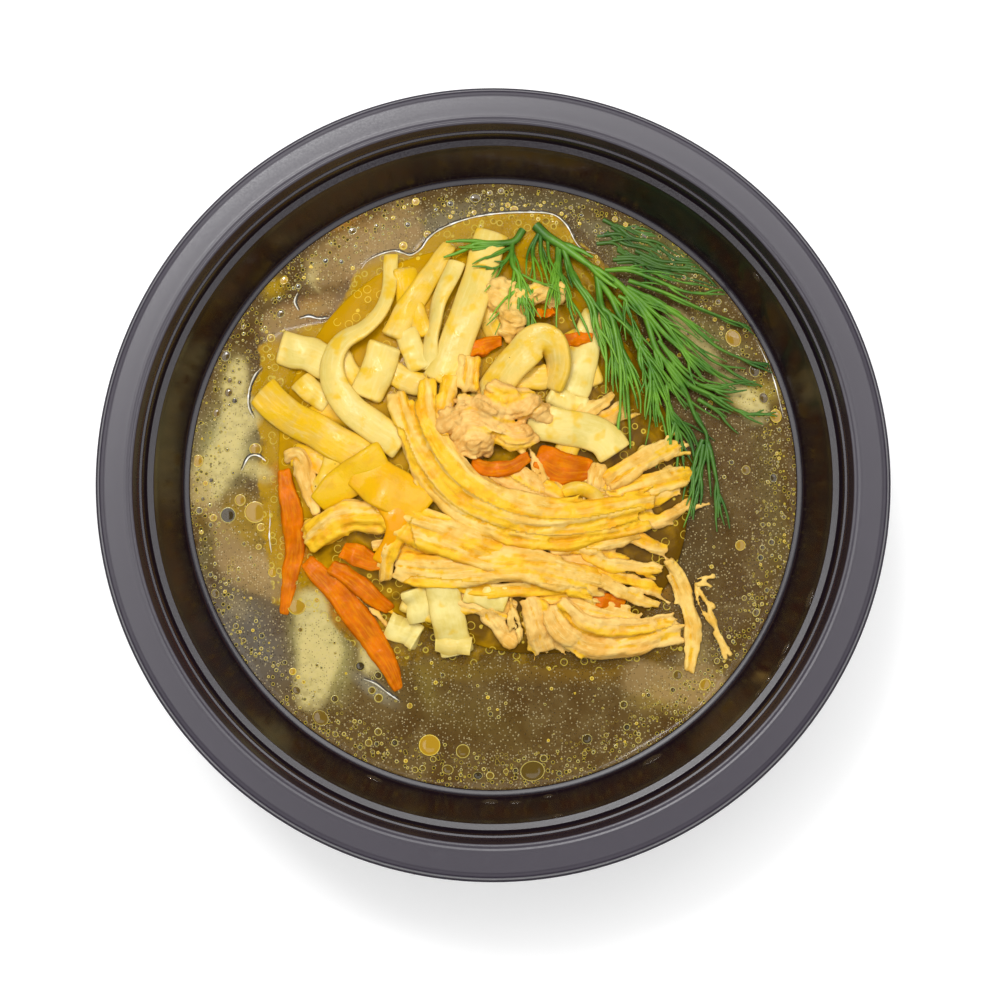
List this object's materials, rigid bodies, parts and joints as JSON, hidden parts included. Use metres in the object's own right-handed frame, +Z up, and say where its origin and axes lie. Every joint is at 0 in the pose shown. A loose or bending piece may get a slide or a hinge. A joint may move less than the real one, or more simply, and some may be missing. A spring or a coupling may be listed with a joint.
{
  "type": "chicken noodle soup",
  "caption": "Clear chicken broth with flat egg noodles, torn chicken, carrot strips and dill, heaped in a round black plastic takeaway bowl.",
  "frame": {"origin": "centre of the bowl's foot, on the surface that the bowl stands on", "axes": "+Z up; +Y towards the side of the bowl where the dill's stems lie; +X towards the dill's tips"},
  "size_m": [0.144, 0.144, 0.064],
  "materials": {
    "black_plastic": "satin moulded black plastic",
    "broth": "wet, clear brown broth with yellow fat on it",
    "noodle": "wet pale yellow egg noodle",
    "chicken": "moist boiled chicken, torn along its fibres",
    "carrot": "wet boiled carrot",
    "dill": "fresh green dill"
  },
  "bodies": {
    "root": {"bowl": "black_plastic", "dill_small": "dill", "dill_large": "dill", "chicken_knob": "chicken", "chicken_top": "chicken", "chicken_stub": "chicken", "chicken_long_curl": "chicken", "chicken_left_strip": "chicken", "chicken_straight": "chicken", "chicken_inner": "chicken", "chicken_right_upper": "chicken", "chicken_nub": "chicken", "chicken_right_lower": "chicken", "chicken_sliver": "chicken", "chicken_middle": "chicken", "chicken_splinter": "chicken", "chicken_lower_curl": "chicken", "chicken_lower_left": "chicken", "chicken_lower_middle": "chicken", "chicken_thread": "chicken", "chicken_afloat": "chicken", "chicken_fork": "chicken", "chicken_left": "chicken", "carrot_under_knob": "carrot", "carrot_point": "carrot", "carrot_left": "carrot", "carrot_long": "carrot", "carrot_middle": "carrot", "carrot_deep": "carrot", "carrot_top": "carrot", "carrot_chip": "carrot", "carrot_right": "carrot", "carrot_lower": "carrot", "noodles": "noodle", "broth": "broth"}
  },
  "joints": []
}
